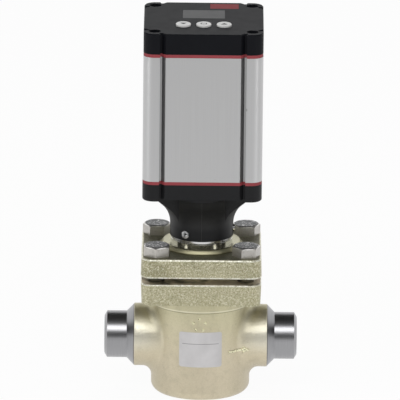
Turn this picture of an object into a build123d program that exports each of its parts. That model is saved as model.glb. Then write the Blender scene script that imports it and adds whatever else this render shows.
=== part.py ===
"""Motor-operated globe valve: a cast body with butt-weld ends, a bolted bonnet,
a magnetic coupling through a sealed sleeve, and a stepping-motor actuator.

Millimetres, +Z up, the pipe along X. The origin is the middle of the flat base.
"""
import os
from math import cos, radians, sin, sqrt, tan

from build123d import *

os.makedirs("parts", exist_ok=True)

# Pipe and weld ends
pipe_od = 33.7            # outside diameter of the welded pipe
pipe_wall = 4.55          # wall of the weld ends
pipe_axis_z = 40.0        # height of the pipe's axis over the base
body_length = 138.2       # from weld end to weld end
bevel_length = 1.9        # weld bevel along the pipe
bevel_depth = 3.4         # weld bevel across the wall
collar_r = 22.5           # cast collar at each side of the body
collar_reach = 47.5       # from the valve's axis to the end of a collar
cone_length = 5.6         # machined cone from the collar down to the pipe

# Cast body
body_r = 35.4             # upright cylinder of the body
base_round = 6.0          # rounded edge round the flat base
rim_r = 36.9              # thicker rim under the flange
rim_height = 7.0
casting_round = 7.0       # inner corner where collar and cylinder meet
flange_width = 86.2       # along the pipe
flange_depth = 84.4       # across the pipe
flange_bottom_z = 73.7
flange_height = 15.6
flange_corner = 8.0       # upright corners of the flange and the bonnet
casting_draft = 2.2       # degrees that the flange and bonnet walls lean
edge_break = 0.6          # machined edges

# Cavities of the body
chamber_r = 27.0          # upper chamber, round the cage
chamber_floor_z = 50.0
chamber_roof_z = 72.0
cage_bore_r = 21.0        # bore between chamber and ledge
ledge_depth = 10.0        # from the flange's face down to the gasket ledge
spigot_bore_r = 24.6
wall_under_seat = 16.0    # wall between the two chambers
lower_chamber_r = 22.0
lower_chamber_floor_z = 10.0
passage_r = 10.5          # cast passages from the pipe bores to the chambers
passage_start = 42.0      # how far from the axis a passage leaves the pipe bore
passage_rise = 22.0       # how far a passage climbs or drops
passage_end = 13.0

# Seat, cage and cone
seat_hole_r = 13.0
seat_ring_r = 16.5
seat_ring_height = 4.0
slip = 0.1                # play between fixed pieces that slide together
gasket_thickness = 1.5
cage_flange_height = 3.0
cage_outer_r = 20.7
cage_inner_r = 17.9
window_width = 14.0
window_low = 4.0          # window's lower edge over the seat
window_height = 17.0
window_count = 4
cone_r = 17.4
cone_height = 7.0
cone_boss_r = 8.0
cone_boss_height = 5.0
spindle_r = 5.0
spindle_over_rotor = 7.7  # how far the spindle stands up into the rotor
spindle_socket = 2.0      # cone metal under the spindle's end
spindle_flats = 8.4       # across the two flats that stop it turning
flats_length = 17.0
running_play = 0.08       # radial play of a turning or sliding shaft

# Bonnet
bonnet_gap = 4.8          # open gap between flange and bonnet
bonnet_width = 86.4
bonnet_depth = 84.6
bonnet_height = 14.05
bonnet_edge_round = 1.6
hub_r = 28.0
hub_height = 3.45
adapter_bore_r = 12.0

# Bonnet bolts
bolt_spacing_x = 64.0
bolt_spacing_y = 57.0
bolt_r = 6.0
bolt_hole_r = 6.6
bolt_head_flats = 18.0
bolt_head_height = 7.5
bolt_turns = (27.0, 11.0, 6.0, 0.0)   # degrees each head stopped at

# Stem adapter, polished, between bonnet and actuator
adapter_ring_r = 22.0
adapter_ring_height = 4.2
adapter_groove = 0.7
adapter_spigot_r = 11.8
adapter_spigot_length = 15.0
socket_boss_r = 19.7
socket_boss_height = 8.3
lock_groove_depth = 1.0
lock_groove_width = 5.8
guide_bore_r = 8.0
guide_bush_height = 6.0
packing_height = 6.5
stem_hole_r = 5.7
o_ring_wire = 1.6
o_ring_groove_r = 10.3

# Magnetic coupling
sleeve_r = 11.0
sleeve_wall = 0.8
sleeve_flange_r = 14.0
sleeve_height = 22.0
washer_height = 1.2
inner_magnet_r = 9.8
inner_core_r = 7.1
inner_rotor_height = 19.0
magnet_count = 8
magnet_gap = 0.8          # between neighbouring magnets
drive_magnet_in_r = 11.7
drive_magnet_out_r = 15.4
drive_cup_in_r = 15.5
drive_cup_out_r = 18.2
drive_height = 20.0
drive_lift = 3.0          # drive cup over the socket boss
drive_web = 3.0
drive_hub_r = 7.0
drive_hub_gap = 1.5       # between the hub and the motor's pilot
drive_clearance = 0.9     # over the drive cup's web
bearing_r = 13.0
bearing_height = 7.0
motor_shaft_r = 4.0

# Lower housing: bottom cap, flared neck and skirt
neck_r = 22.7
neck_bore_r = 20.0
flare_start = 8.4         # plain part of the neck before it flares
flare_radius = 20.0
flare_angle = 50.0
slim_flare_radius = 6.0   # corners between the ribs
rib_width = 33.0          # the flat-sided flare on each of the four sides
bearing_sunk = 2.4        # from the bearing's lower face up to the cap's underside
lower_cap_height = 10.8
actuator_width = 85.2
actuator_depth = 90.0
actuator_corner = 8.0
flare_inset = 1.6         # flare held in from the cap's walls
foot_drop = 1.7           # corner feet below the cap's underside
foot_round = 1.4
set_screw_r = 2.8
set_screw_length = 4.9
set_screw_height = 4.7    # over the neck's lower edge
set_screw_socket = 2.5    # across the flats of its key socket
set_screw_count = 3
set_screw_first_deg = 0.0

# Grooved aluminium housing, with the same grooves in caps and gaskets
housing_height = 91.4
groove_from_edge = 11.9   # outer wall of a groove to the side of the housing
groove_width = 4.0
groove_floor = 1.4
groove_depth = 3.2
housing_wall = 5.2
boss_chamfer = 14.0       # corner metal that holds the screw ports
port_inset_x = 7.9        # screw ports in from the sides
port_inset_y = 9.0
port_r = 2.0
seal_thickness = 2.4
seal_inset = 0.15

# Top cap with display and keys
top_cap_height = 14.9
top_wall = 4.0
top_edge_break = 0.7
screw_head_r = 3.6
screw_head_height = 4.0
screw_well_r = 4.2
screw_well_depth = 7.0
screw_shank_length = 18.0
screw_socket = 3.0
display_width = 30.2
display_depth = 22.8
display_y = 11.9
display_thickness = 1.0
display_frame = 1.6       # ledge that carries the window
plate_width = 20.6
plate_depth = 13.4
plate_x = 14.7
plate_from_back = 10.6    # to its middle
plate_thickness = 0.5
key_width = 10.8
key_depth = 13.0
key_pitch = 14.5
key_y = -18.6
key_proud = 1.2
key_travel = 1.0
key_lip = 1.4
key_lip_height = 1.2
key_play = 0.3
key_room = 6.8            # from the top wall down to the display board
board_thickness = 1.6
display_board_width = 60.0
display_board_depth = 58.0
display_board_y = 1.0
switch_size = 6.0
switch_play = 0.2

# Motor, main board and connectors
motor_side = 56.4
motor_flange_height = 5.0
motor_height = 58.0
motor_corner = 14.8
motor_pilot_r = 19.0
motor_pilot_height = 1.6
motor_screw_pitch = 47.1
motor_screw_r = 2.0
motor_screw_head_r = 3.4
motor_screw_head = 3.0
motor_screw_length = 8.0
main_board_width = 48.0
main_board_margin = 8.0   # from its ends to the ends of the housing
post_inset = 4.0          # board edges to the middle of their posts and spacers
board_spacer_r = 2.6
board_spacer_length = 4.0
capacitor_r = 5.0
capacitor_height = 4.0
capacitor_gap = 1.5
capacitor_count = 4
capacitor_over_motor = 3.0
connector_x = 24.5
connector_from_back = 19.0
connector_thread_r = 6.0
connector_length = 11.5
connector_tail = 6.0      # how far it reaches up into the cap
connector_nut_r = 7.0
connector_nut_height = 2.6
connector_recess_r = 4.4
connector_recess = 3.0
pin_r = 0.5
pin_circle = 2.6
supply_pin_count = 4
control_pin_count = 8

# Label on the body
label_width = 30.5
label_height = 26.0
label_low_z = 26.0
label_corner = 1.6
label_thickness = 0.25

# Heights that follow from the stack
flange_top_z = flange_bottom_z + flange_height
ledge_z = flange_top_z - ledge_depth
seat_z = chamber_floor_z
lower_chamber_roof_z = chamber_floor_z - wall_under_seat
cage_flange_z = ledge_z + gasket_thickness
spigot_bottom_z = cage_flange_z + cage_flange_height
bonnet_z = flange_top_z + bonnet_gap
bonnet_top_z = bonnet_z + bonnet_height
hub_top_z = bonnet_top_z + hub_height
neck_z = hub_top_z + adapter_ring_height
boss_top_z = neck_z + socket_boss_height
rotor_z = boss_top_z + washer_height
spindle_top_z = rotor_z + spindle_over_rotor
drive_z = boss_top_z + drive_lift
drive_top_z = drive_z + drive_height
neck_bore_top_z = drive_top_z + drive_web + drive_clearance
lower_cap_z = neck_bore_top_z + bearing_sunk
lower_cap_top_z = lower_cap_z + lower_cap_height
pilot_z = lower_cap_top_z - motor_pilot_height
housing_z = lower_cap_top_z + seal_thickness
housing_top_z = housing_z + housing_height
top_cap_z = housing_top_z + seal_thickness
top_z = top_cap_z + top_cap_height
under_top_z = top_z - top_wall
board_top_z = under_top_z - key_room
pipe_r = pipe_od / 2
pipe_bore_r = pipe_r - pipe_wall
half_length = body_length / 2
port_x = actuator_width / 2 - port_inset_x
port_y = actuator_depth / 2 - port_inset_y
connector_y = actuator_depth / 2 - connector_from_back
plate_y = actuator_depth / 2 - plate_from_back


def save(piece, label):
    """Name a finished piece and write it beside the others."""
    piece.part.label = label
    export_step(piece.part, f"parts/{label}.step")


def housing_outline(inset=0.0):
    """The rounded outline with two long grooves in each side, shared by housing, seals and caps."""
    half = (actuator_width / 2, actuator_depth / 2)
    with BuildSketch() as outline:
        RectangleRounded(2 * (half[0] - inset), 2 * (half[1] - inset), actuator_corner - inset)
        for turn, across, face in ((0, *half), (90, *reversed(half)), (180, *half), (270, *reversed(half))):
            for side in (1, -1):
                wall = across - groove_from_edge
                floor = face - inset - groove_depth
                with BuildSketch(mode=Mode.PRIVATE) as notch:
                    with BuildLine():
                        Polyline(
                            (side * wall, face + 1),
                            (side * wall, floor),
                            (side * (wall - groove_floor), floor),
                            (side * (wall - groove_width), face - inset),
                            (side * (wall - groove_width), face + 1),
                            close=True,
                        )
                    make_face()
                add(notch.sketch, rotation=turn, mode=Mode.SUBTRACT)
    return outline.sketch


def housing_hollow(wall):
    """The hollow inside that outline, with its corners cut off to leave metal for the screws."""
    with BuildSketch() as hollow:
        Rectangle(actuator_width - 2 * wall, actuator_depth - 2 * wall)
        chamfer(hollow.vertices(), boss_chamfer)
    return hollow.sketch


# Valve body: flange, rim, cylinder, collars, cones and weld ends cast and turned as one piece
with BuildPart() as valve_body:
    with BuildSketch(Plane.XY):
        Circle(body_r)
    extrude(amount=flange_bottom_z)
    fillet(valve_body.faces().sort_by(Axis.Z)[0].edges(), base_round)
    with BuildSketch(Plane.XZ):
        with BuildLine():
            cone_end = collar_reach + cone_length
            Polyline(
                (0, pipe_axis_z),
                (0, pipe_axis_z + collar_r),
                (collar_reach, pipe_axis_z + collar_r),
                (cone_end, pipe_axis_z + pipe_r),
                (half_length - bevel_length, pipe_axis_z + pipe_r),
                (half_length, pipe_axis_z + pipe_r - bevel_depth),
                (half_length, pipe_axis_z),
                close=True,
            )
        make_face()
        mirror(about=Plane.YZ)
    revolve(axis=Axis((0, 0, pipe_axis_z), (1, 0, 0)))
    meeting = valve_body.edges().filter_by(GeomType.BSPLINE)
    fillet(meeting, casting_round)
    with BuildSketch(Plane.XY.offset(flange_bottom_z - rim_height)):
        Circle(rim_r)
    extrude(amount=rim_height)
    with BuildSketch(Plane.XY.offset(flange_top_z)):
        RectangleRounded(flange_width, flange_depth, flange_corner)
    extrude(amount=-flange_height, taper=casting_draft)
    chamfer(valve_body.faces().sort_by(Axis.Z)[-1].edges(), edge_break)
    # pipe bores, up to where the cast passages turn off
    with BuildSketch(Plane.YZ.offset(-half_length)):
        with Locations((0, pipe_axis_z)):
            Circle(pipe_bore_r)
    extrude(amount=half_length - passage_start, mode=Mode.SUBTRACT)
    with BuildSketch(Plane.YZ.offset(half_length)):
        with Locations((0, pipe_axis_z)):
            Circle(pipe_bore_r)
    extrude(amount=-(half_length - passage_start), mode=Mode.SUBTRACT)
    # inlet passage drops to the lower chamber, outlet passage climbs to the upper one
    for side, rise in ((-1, -passage_rise), (1, passage_rise)):
        start = Vector(side * (passage_start + 2), 0, pipe_axis_z)
        end = Vector(side * passage_end, 0, pipe_axis_z + rise)
        run = end - start
        with BuildSketch(Plane(origin=start, z_dir=run)):
            Circle(passage_r)
        extrude(amount=run.length, mode=Mode.SUBTRACT)
    # turned cavities on the valve's own axis
    with BuildSketch(Plane.XZ):
        with BuildLine():
            Polyline(
                (0, lower_chamber_floor_z),
                (lower_chamber_r, lower_chamber_floor_z),
                (lower_chamber_r, lower_chamber_roof_z),
                (seat_hole_r, lower_chamber_roof_z),
                (seat_hole_r, seat_z - seat_ring_height),
                (seat_ring_r + slip, seat_z - seat_ring_height),
                (seat_ring_r + slip, seat_z),
                (chamber_r, seat_z),
                (chamber_r, chamber_roof_z),
                (cage_bore_r, chamber_roof_z),
                (cage_bore_r, ledge_z),
                (spigot_bore_r, ledge_z),
                (spigot_bore_r, flange_top_z),
                (0, flange_top_z),
                close=True,
            )
        make_face()
    revolve(axis=Axis.Z, mode=Mode.SUBTRACT)
    with BuildSketch(Plane.XY.offset(flange_top_z)):
        with GridLocations(bolt_spacing_x, bolt_spacing_y, 2, 2):
            Circle(bolt_r + slip)
    extrude(amount=-flange_height, mode=Mode.SUBTRACT)
save(valve_body, "valve_body")

# Printed label, a thin plate bent round the front of the body
with BuildPart() as body_label:
    with BuildSketch(Plane.XZ):
        with Locations((0, label_low_z + label_height / 2)):
            RectangleRounded(label_width, label_height, label_corner)
    extrude(amount=body_r + label_thickness)
    with BuildSketch(Plane.XY):
        Circle(body_r + label_thickness)
        Circle(body_r, mode=Mode.SUBTRACT)
    extrude(amount=flange_bottom_z, mode=Mode.INTERSECT)
save(body_label, "body_label")

# Seat ring in the wall between the chambers
with BuildPart() as seat_ring:
    with BuildSketch(Plane.XY.offset(seat_z - seat_ring_height)):
        Circle(seat_ring_r)
        Circle(seat_hole_r, mode=Mode.SUBTRACT)
    extrude(amount=seat_ring_height)
    seat_rim = seat_ring.edges().filter_by(GeomType.CIRCLE).group_by(Axis.Z)[-1].sort_by(SortBy.RADIUS)[0]
    chamfer(seat_rim, edge_break)
save(seat_ring, "seat_ring")

# Cage that guides the cone, with flow windows, hung by its flange from the ledge
with BuildPart() as cage:
    with BuildSketch(Plane.XY.offset(seat_z)):
        Circle(cage_outer_r)
    extrude(amount=cage_flange_z - seat_z)
    with BuildSketch(Plane.XY.offset(cage_flange_z)):
        Circle(spigot_bore_r - 3 * slip)
    extrude(amount=cage_flange_height)
    with BuildSketch(Plane.XY.offset(seat_z)):
        Circle(cage_inner_r)
    extrude(amount=cage_flange_z - seat_z, mode=Mode.SUBTRACT)
    with BuildSketch(Plane.XY.offset(cage_flange_z)):
        Circle(spindle_r + 1.5)
    extrude(amount=cage_flange_height, mode=Mode.SUBTRACT)
    for index in range(window_count):
        with BuildSketch(Plane.XZ.rotated((0, 0, 360 / window_count * index))):
            with Locations((0, seat_z + window_low + window_height / 2)):
                RectangleRounded(window_width, window_height, 3)
        extrude(amount=cage_outer_r + 1, mode=Mode.SUBTRACT)
save(cage, "valve_cage")

# Gasket under the cage's flange
with BuildPart() as bonnet_gasket:
    with BuildSketch(Plane.XY.offset(ledge_z)):
        Circle(spigot_bore_r - 3 * slip)
        Circle(cage_bore_r, mode=Mode.SUBTRACT)
    extrude(amount=gasket_thickness)
save(bonnet_gasket, "bonnet_gasket")

# Cone that opens and closes the seat
with BuildPart() as valve_cone:
    with BuildSketch(Plane.XY.offset(seat_z)):
        Circle(cone_r)
    extrude(amount=cone_height)
    chamfer(valve_cone.faces().sort_by(Axis.Z)[-1].edges(), edge_break)
    with BuildSketch(Plane.XY.offset(seat_z + cone_height)):
        Circle(cone_boss_r)
    extrude(amount=cone_boss_height)
    with BuildSketch(Plane.XY.offset(seat_z + spindle_socket)):
        Circle(spindle_r + slip)
    extrude(amount=cone_height + cone_boss_height, mode=Mode.SUBTRACT)
save(valve_cone, "valve_cone")

# Spindle: threaded above, with two flats lower down that keep it from turning
bush_z = hub_top_z - adapter_spigot_length + edge_break
flats_low_z = bush_z + guide_bush_height - flats_length
with BuildPart() as spindle:
    with BuildSketch(Plane.XY.offset(seat_z + spindle_socket)):
        Circle(spindle_r)
    extrude(amount=spindle_top_z - seat_z - spindle_socket)
    chamfer(spindle.faces().sort_by(Axis.Z)[-1].edges(), edge_break)
    with BuildSketch(Plane.XY.offset(flats_low_z)):
        with Locations((0, spindle_r), (0, -spindle_r)):
            Rectangle(2 * spindle_r, 2 * spindle_r - spindle_flats)
    extrude(amount=flats_length, mode=Mode.SUBTRACT)
save(spindle, "spindle")

# Bonnet: a cast plate with a spigot into the body and a turned hub for the actuator
with BuildPart() as bonnet:
    with BuildSketch(Plane.XY.offset(bonnet_z)):
        RectangleRounded(bonnet_width, bonnet_depth, flange_corner)
    extrude(amount=bonnet_height, taper=casting_draft)
    fillet(bonnet.faces().sort_by(Axis.Z)[-1].edges(), bonnet_edge_round)
    with BuildSketch(Plane.XY.offset(bonnet_top_z)):
        Circle(hub_r)
    extrude(amount=hub_height)
    chamfer(bonnet.faces().sort_by(Axis.Z)[-1].edges(), edge_break)
    with BuildSketch(Plane.XY.offset(spigot_bottom_z)):
        Circle(spigot_bore_r - 3 * slip)
    extrude(amount=bonnet_z - spigot_bottom_z)
    chamfer(bonnet.faces().sort_by(Axis.Z)[0].edges(), edge_break)
    with BuildSketch(Plane.XY.offset(spigot_bottom_z)):
        Circle(adapter_bore_r)
    extrude(amount=hub_top_z - spigot_bottom_z, mode=Mode.SUBTRACT)
    with BuildSketch(Plane.XY.offset(bonnet_z)):
        with GridLocations(bolt_spacing_x, bolt_spacing_y, 2, 2):
            Circle(bolt_hole_r)
    extrude(amount=bonnet_height, mode=Mode.SUBTRACT)
save(bonnet, "bonnet")

# Four hexagon bolts; each head stopped at an angle of its own
bolt_places = [
    (x * bolt_spacing_x / 2, y * bolt_spacing_y / 2) for x, y in ((-1, -1), (1, -1), (1, 1), (-1, 1))
]
head_r = bolt_head_flats / sqrt(3)
head_top_z = bonnet_top_z + bolt_head_height
with BuildPart() as head_chamfer:
    with BuildSketch(Plane.XZ):
        with BuildLine():
            inner_r = bolt_head_flats / 2 - edge_break
            outer_r = head_r + edge_break
            fall = (outer_r - inner_r) * tan(radians(30))
            Polyline((inner_r, head_top_z), (outer_r, head_top_z - fall), (outer_r, head_top_z), close=True)
        make_face()
    revolve(axis=Axis.Z)
with BuildPart() as bonnet_bolts:
    for place, turn in zip(bolt_places, bolt_turns):
        with BuildSketch(Plane.XY.offset(bonnet_top_z)):
            with Locations(place):
                RegularPolygon(head_r, 6, rotation=turn)
        extrude(amount=bolt_head_height)
        add(head_chamfer.part.moved(Location((*place, 0))), mode=Mode.SUBTRACT)
    with BuildSketch(Plane.XY.offset(bonnet_top_z)):
        with Locations(*bolt_places):
            Circle(bolt_r)
    extrude(amount=-(bonnet_top_z - flange_bottom_z - edge_break))
save(bonnet_bolts, "bonnet_bolts")

# Stem adapter: polished ring, spigot into the bonnet, boss into the neck
spigot_z = hub_top_z - adapter_spigot_length
ring_mid_z = hub_top_z + adapter_ring_height / 2
ring_z = spigot_z + adapter_spigot_length / 2
lock_z = neck_z + set_screw_height
packing_z = bush_z + guide_bush_height
with BuildPart() as stem_adapter:
    with BuildSketch(Plane.XZ):
        with BuildLine():
            Polyline(
                (guide_bore_r, spigot_z),
                (adapter_spigot_r, spigot_z),
                (adapter_spigot_r, ring_z),
                (o_ring_groove_r, ring_z),
                (o_ring_groove_r, ring_z + o_ring_wire + slip),
                (adapter_spigot_r, ring_z + o_ring_wire + slip),
                (adapter_spigot_r, hub_top_z),
                (adapter_ring_r, hub_top_z),
                (adapter_ring_r, ring_mid_z - adapter_groove / 2),
                (adapter_ring_r - adapter_groove, ring_mid_z),
                (adapter_ring_r, ring_mid_z + adapter_groove / 2),
                (adapter_ring_r, neck_z),
                (socket_boss_r, neck_z),
                (socket_boss_r, lock_z - lock_groove_width / 2),
                (socket_boss_r - lock_groove_depth, lock_z - lock_groove_width / 2),
                (socket_boss_r - lock_groove_depth, lock_z + lock_groove_width / 2),
                (socket_boss_r, lock_z + lock_groove_width / 2),
                (socket_boss_r, boss_top_z),
                (stem_hole_r, boss_top_z),
                (stem_hole_r, packing_z + packing_height),
                (guide_bore_r, packing_z + packing_height),
                close=True,
            )
        make_face()
    revolve(axis=Axis.Z)
save(stem_adapter, "stem_adapter")

# Rubber ring in the spigot's groove
with BuildPart() as stem_o_ring:
    with BuildSketch(Plane.XZ):
        with Locations((o_ring_groove_r + slip / 2 + o_ring_wire / 2, ring_z + o_ring_wire / 2)):
            Circle(o_ring_wire / 2)
    revolve(axis=Axis.Z)
save(stem_o_ring, "stem_o_ring")

# Bush with a flat-sided hole, which guides the spindle and keeps it from turning
with BuildPart() as guide_bush:
    with BuildSketch(Plane.XY.offset(bush_z)):
        Circle(guide_bore_r - slip)
        with BuildSketch(mode=Mode.PRIVATE) as spindle_hole:
            Circle(spindle_r + running_play)
            Rectangle(4 * spindle_r, spindle_flats + 2 * running_play, mode=Mode.INTERSECT)
        add(spindle_hole.sketch, mode=Mode.SUBTRACT)
    extrude(amount=guide_bush_height)
save(guide_bush, "guide_bush")

# Packing that seals the spindle
with BuildPart() as stem_packing:
    with BuildSketch(Plane.XY.offset(packing_z)):
        Circle(guide_bore_r - slip)
        Circle(spindle_r + running_play, mode=Mode.SUBTRACT)
    extrude(amount=packing_height)
save(stem_packing, "stem_packing")

# Sealed sleeve between the two halves of the magnetic coupling
with BuildPart() as magnet_sleeve:
    sleeve_top_z = boss_top_z + sleeve_height
    with BuildSketch(Plane.XZ):
        with BuildLine():
            Polyline(
                (sleeve_r - sleeve_wall, boss_top_z),
                (sleeve_flange_r, boss_top_z),
                (sleeve_flange_r, rotor_z),
                (sleeve_r, rotor_z),
                (sleeve_r, sleeve_top_z),
                (0, sleeve_top_z),
                (0, sleeve_top_z - sleeve_wall),
                (sleeve_r - sleeve_wall, sleeve_top_z - sleeve_wall),
                close=True,
            )
        make_face()
    revolve(axis=Axis.Z)
save(magnet_sleeve, "magnet_sleeve")

# Washer that the inner rotor turns on
with BuildPart() as thrust_washer:
    with BuildSketch(Plane.XY.offset(boss_top_z)):
        Circle(inner_magnet_r)
        Circle(stem_hole_r, mode=Mode.SUBTRACT)
    extrude(amount=washer_height)
save(thrust_washer, "thrust_washer")

# Inner rotor: a nut that drives the spindle up and down
with BuildPart() as rotor_nut:
    with BuildSketch(Plane.XY.offset(rotor_z)):
        Circle(inner_core_r)
        Circle(spindle_r + running_play, mode=Mode.SUBTRACT)
    extrude(amount=inner_rotor_height)
save(rotor_nut, "rotor_nut")


def magnet_ring(inner, outer):
    """A ring of separate magnets, seen from above."""
    with BuildSketch() as ring:
        Circle(outer)
        Circle(inner, mode=Mode.SUBTRACT)
        with PolarLocations(outer / 2, magnet_count):
            Rectangle(outer + 1, magnet_gap, mode=Mode.SUBTRACT)
    return ring.sketch


with BuildPart() as rotor_magnets:
    with BuildSketch(Plane.XY.offset(rotor_z)):
        add(magnet_ring(inner_core_r, inner_magnet_r))
    extrude(amount=inner_rotor_height)
save(rotor_magnets, "rotor_magnets")

# Drive cup with the outer magnets, turned by the motor
with BuildPart() as drive_cup:
    with BuildSketch(Plane.XY.offset(drive_z)):
        Circle(drive_cup_out_r)
    extrude(amount=drive_height + drive_web)
    with BuildSketch(Plane.XY.offset(drive_z)):
        Circle(drive_cup_in_r)
    extrude(amount=drive_height, mode=Mode.SUBTRACT)
    with BuildSketch(Plane.XY.offset(drive_top_z + drive_web)):
        Circle(drive_hub_r)
    extrude(amount=pilot_z - drive_hub_gap - drive_top_z - drive_web)
    with BuildSketch(Plane.XY.offset(drive_top_z + drive_web + edge_break)):
        Circle(motor_shaft_r)
    extrude(amount=pilot_z - drive_top_z, mode=Mode.SUBTRACT)
save(drive_cup, "drive_cup")

with BuildPart() as drive_magnets:
    with BuildSketch(Plane.XY.offset(drive_z)):
        add(magnet_ring(drive_magnet_in_r, drive_magnet_out_r))
    extrude(amount=drive_height)
save(drive_magnets, "drive_magnets")

# Bearing that carries the drive cup's hub
with BuildPart() as drive_bearing:
    with BuildSketch(Plane.XY.offset(neck_bore_top_z)):
        Circle(bearing_r - slip / 2)
        Circle(drive_hub_r + running_play, mode=Mode.SUBTRACT)
    extrude(amount=bearing_height)
save(drive_bearing, "drive_bearing")

# Lower housing: the flared neck grows out to a rib on each side of the bottom cap
with BuildPart() as flare:
    flare_z = neck_z + flare_start
    with BuildSketch(Plane.XZ):
        with BuildLine():
            base = Polyline((0, lower_cap_z), (0, neck_z), (neck_r, neck_z), (neck_r, flare_z))
            curve = CenterArc((neck_r + flare_radius, flare_z), flare_radius, 180, -flare_angle)
            rise = lower_cap_z - (curve @ 1).Y
            slope_end = ((curve @ 1).X + rise * tan(radians(flare_angle)), lower_cap_z)
            Polyline(curve @ 1, slope_end, (0, lower_cap_z))
        make_face()
    revolve(axis=Axis.Z)
    with BuildSketch(Plane.XY.offset(neck_z)):
        Rectangle(rib_width, actuator_depth - 2 * flare_inset)
        Rectangle(actuator_width - 2 * flare_inset, rib_width)
    extrude(amount=lower_cap_z - neck_z, mode=Mode.INTERSECT)
with BuildPart() as lower_housing:
    with BuildSketch(Plane.XY.offset(lower_cap_z)):
        add(housing_outline())
    extrude(amount=lower_cap_height)
    with BuildSketch(Plane.XY.offset(lower_cap_z)):
        add(housing_outline())
        Rectangle(actuator_width, actuator_depth - 2 * groove_from_edge, mode=Mode.SUBTRACT)
        Rectangle(actuator_width - 2 * groove_from_edge, actuator_depth, mode=Mode.SUBTRACT)
    extrude(amount=-foot_drop)
    fillet(lower_housing.edges().group_by(Axis.Z)[0], foot_round)
    add(flare.part)
    with BuildSketch(Plane.XZ):
        with BuildLine():
            corner_z = lower_cap_z - slim_flare_radius
            Polyline((0, lower_cap_z), (0, neck_z), (neck_r, neck_z), (neck_r, corner_z))
            corner_curve = CenterArc((neck_r + slim_flare_radius, corner_z), slim_flare_radius, 180, -90)
            Line(corner_curve @ 1, (0, lower_cap_z))
        make_face()
    revolve(axis=Axis.Z)
    # bores for the coupling, its bearing and hub, and the motor's pilot
    with BuildSketch(Plane.XZ):
        with BuildLine():
            Polyline(
                (0, neck_z),
                (neck_bore_r, neck_z),
                (neck_bore_r, neck_bore_top_z),
                (bearing_r, neck_bore_top_z),
                (bearing_r, neck_bore_top_z + bearing_height),
                (drive_hub_r + 1, neck_bore_top_z + bearing_height),
                (drive_hub_r + 1, pilot_z),
                (motor_pilot_r + slip, pilot_z),
                (motor_pilot_r + slip, lower_cap_top_z),
                (0, lower_cap_top_z),
                close=True,
            )
        make_face()
    revolve(axis=Axis.Z, mode=Mode.SUBTRACT)
    # screw wells in the feet, motor screws and connector tails
    with BuildSketch(Plane.XY.offset(lower_cap_z - foot_drop)):
        with GridLocations(2 * port_x, 2 * port_y, 2, 2):
            Circle(screw_well_r)
    extrude(amount=foot_drop + screw_head_height, mode=Mode.SUBTRACT)
    with BuildSketch(Plane.XY.offset(lower_cap_z)):
        with GridLocations(2 * port_x, 2 * port_y, 2, 2):
            Circle(port_r + slip)
    extrude(amount=lower_cap_height, mode=Mode.SUBTRACT)
    with BuildSketch(Plane.XY.offset(lower_cap_z)):
        with Locations((-connector_x, connector_y), (connector_x, connector_y)):
            Circle(connector_thread_r - 1 + slip)
    extrude(amount=connector_tail, mode=Mode.SUBTRACT)
    # room beside the neck for the connectors
    with BuildSketch(Plane.XY.offset(lower_cap_z)):
        with Locations((-connector_x, connector_y), (connector_x, connector_y)):
            Circle(connector_nut_r + slip)
    extrude(amount=-connector_length, mode=Mode.SUBTRACT)
    with BuildSketch(Plane.XY.offset(lower_cap_top_z)):
        with GridLocations(motor_screw_pitch, motor_screw_pitch, 2, 2):
            Circle(motor_screw_r + slip)
    extrude(amount=-(motor_screw_length - motor_flange_height + 1), mode=Mode.SUBTRACT)
    for index in range(set_screw_count):
        angle = radians(set_screw_first_deg + 360 / set_screw_count * index)
        outward = Vector(cos(angle), sin(angle), 0)
        with BuildSketch(Plane(origin=(0, 0, lock_z), z_dir=outward).offset(neck_bore_r - 1)):
            Circle(set_screw_r + slip / 2)
        extrude(amount=neck_r, mode=Mode.SUBTRACT)
save(lower_housing, "lower_housing")

# Set screws that lock the neck on the stem adapter
with BuildPart() as set_screws:
    for index in range(set_screw_count):
        angle = radians(set_screw_first_deg + 360 / set_screw_count * index)
        outward = Vector(cos(angle), sin(angle), 0)
        seat = Plane(origin=(0, 0, lock_z), z_dir=outward).offset(socket_boss_r - lock_groove_depth + slip)
        with BuildSketch(seat):
            Circle(set_screw_r)
        extrude(amount=set_screw_length)
        with BuildSketch(seat.offset(set_screw_length)):
            RegularPolygon(set_screw_socket / sqrt(3), 6)
        extrude(amount=-set_screw_length / 2, mode=Mode.SUBTRACT)
save(set_screws, "set_screws")

# Seals under and over the grooved housing
for label, low in (("lower_seal", lower_cap_top_z), ("upper_seal", housing_top_z)):
    with BuildPart() as seal:
        with BuildSketch(Plane.XY.offset(low)):
            add(housing_outline(seal_inset))
            add(housing_hollow(housing_wall), mode=Mode.SUBTRACT)
            with GridLocations(2 * port_x, 2 * port_y, 2, 2):
                Circle(port_r + slip, mode=Mode.SUBTRACT)
        extrude(amount=seal_thickness)
    save(seal, label)

# Grooved aluminium housing, an extruded section with a screw port in each corner
with BuildPart() as grooved_housing:
    with BuildSketch(Plane.XY.offset(housing_z)):
        add(housing_outline())
        add(housing_hollow(housing_wall), mode=Mode.SUBTRACT)
        with GridLocations(2 * port_x, 2 * port_y, 2, 2):
            Circle(port_r, mode=Mode.SUBTRACT)
    extrude(amount=housing_height)
save(grooved_housing, "grooved_housing")

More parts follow.
